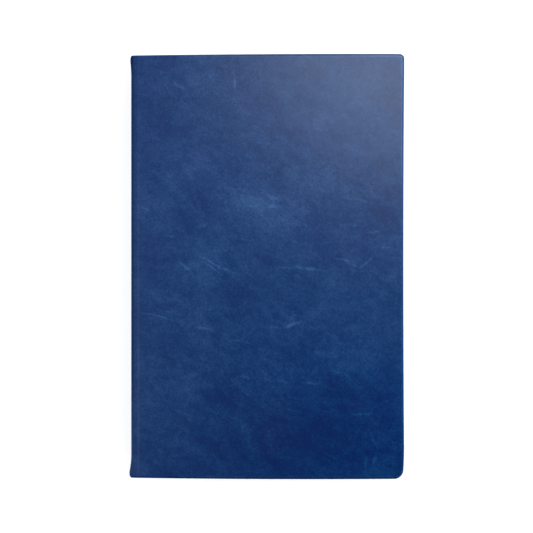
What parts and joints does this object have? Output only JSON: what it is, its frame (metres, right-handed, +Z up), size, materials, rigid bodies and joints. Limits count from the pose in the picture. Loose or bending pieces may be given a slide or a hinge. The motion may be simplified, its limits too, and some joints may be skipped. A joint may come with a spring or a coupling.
{
  "type": "pilot logbook",
  "caption": "Portrait pilot logbook, case-bound in dark blue leather: sewn sections of log paper between two boards that open on leather joints, with leaves that turn after them.",
  "frame": {"origin": "middle of the closed book's footprint, on the surface it lies on", "axes": "+X from the spine to the fore-edge, +Y to the head of the pages, +Z up through the closed book"},
  "size_m": [0.1436, 0.222, 0.0195],
  "materials": {
    "cover_leather": "smooth waxy pull-up leather, cloudy, softly creased",
    "board": "grey bookbinding board",
    "kraft_lining": "brown kraft paper",
    "gauze": "open-weave cotton gauze",
    "log_paper": "pale ruled ledger paper",
    "endpaper": "plain laid endpaper",
    "linen_thread": "waxed linen thread",
    "woven_band": "blue and cream striped band"
  },
  "bodies": {
    "text_block": {"section_1": "log_paper", "section_2": "log_paper", "section_3": "log_paper", "section_4": "log_paper", "section_5": "log_paper", "section_6": "log_paper", "section_7": "log_paper", "section_8": "log_paper", "sewing_thread": "linen_thread", "mull": "gauze", "spine_lining": "kraft_lining", "spine_inlay": "board", "headband": "woven_band", "tailband": "woven_band", "spine_leather": "cover_leather", "front_joint_leather": "cover_leather", "back_joint_leather": "cover_leather"},
    "front_cover": {"front_cover_leather": "cover_leather", "front_board": "board", "front_mull_flap": "gauze", "front_pastedown": "endpaper"},
    "front_flyleaf": {"front_flyleaf": "endpaper"},
    "log_leaf_1": {"log_leaf_1": "log_paper"},
    "log_leaf_2": {"log_leaf_2": "log_paper"},
    "log_leaf_3": {"log_leaf_3": "log_paper"},
    "back_flyleaf": {"back_flyleaf": "endpaper"},
    "back_cover": {"back_cover_leather": "cover_leather", "back_board": "board", "back_mull_flap": "gauze", "back_pastedown": "endpaper"}
  },
  "joints": [
    {"name": "front_cover_hinge", "type": "hinge", "parent": "text_block", "child": "front_cover", "pos_m": [-0.0696, 0, 0.01613], "axis": [0, -1, 0], "range_deg": [0, 179], "deforming": ["front_joint_leather"]},
    {"name": "back_cover_hinge", "type": "hinge", "parent": "text_block", "child": "back_cover", "pos_m": [-0.0696, 0, 0.00337], "axis": [0, 1, 0], "range_deg": [0, 179], "deforming": ["back_joint_leather"]},
    {"name": "front_flyleaf_turn", "type": "hinge", "parent": "text_block", "child": "front_flyleaf", "pos_m": [-0.0696, 0, 0.01613], "axis": [0, -1, 0], "range_deg": [0, 179]},
    {"name": "log_leaf_1_turn", "type": "hinge", "parent": "text_block", "child": "log_leaf_1", "pos_m": [-0.0696, 0, 0.01613], "axis": [0, -1, 0], "range_deg": [0, 179]},
    {"name": "log_leaf_2_turn", "type": "hinge", "parent": "text_block", "child": "log_leaf_2", "pos_m": [-0.0696, 0, 0.01613], "axis": [0, -1, 0], "range_deg": [0, 179]},
    {"name": "log_leaf_3_turn", "type": "hinge", "parent": "text_block", "child": "log_leaf_3", "pos_m": [-0.0696, 0, 0.01613], "axis": [0, -1, 0], "range_deg": [0, 179]},
    {"name": "back_flyleaf_turn", "type": "hinge", "parent": "text_block", "child": "back_flyleaf", "pos_m": [-0.0696, 0, 0.00337], "axis": [0, 1, 0], "range_deg": [0, 179]}
  ],
  "couplings": [
    {"joint": "front_flyleaf_turn", "follows": "front_cover_hinge", "ratio": 0.995},
    {"joint": "log_leaf_1_turn", "follows": "front_cover_hinge", "ratio": 0.99},
    {"joint": "log_leaf_2_turn", "follows": "front_cover_hinge", "ratio": 0.985},
    {"joint": "log_leaf_3_turn", "follows": "front_cover_hinge", "ratio": 0.98},
    {"joint": "back_flyleaf_turn", "follows": "back_cover_hinge", "ratio": 0.995}
  ]
}
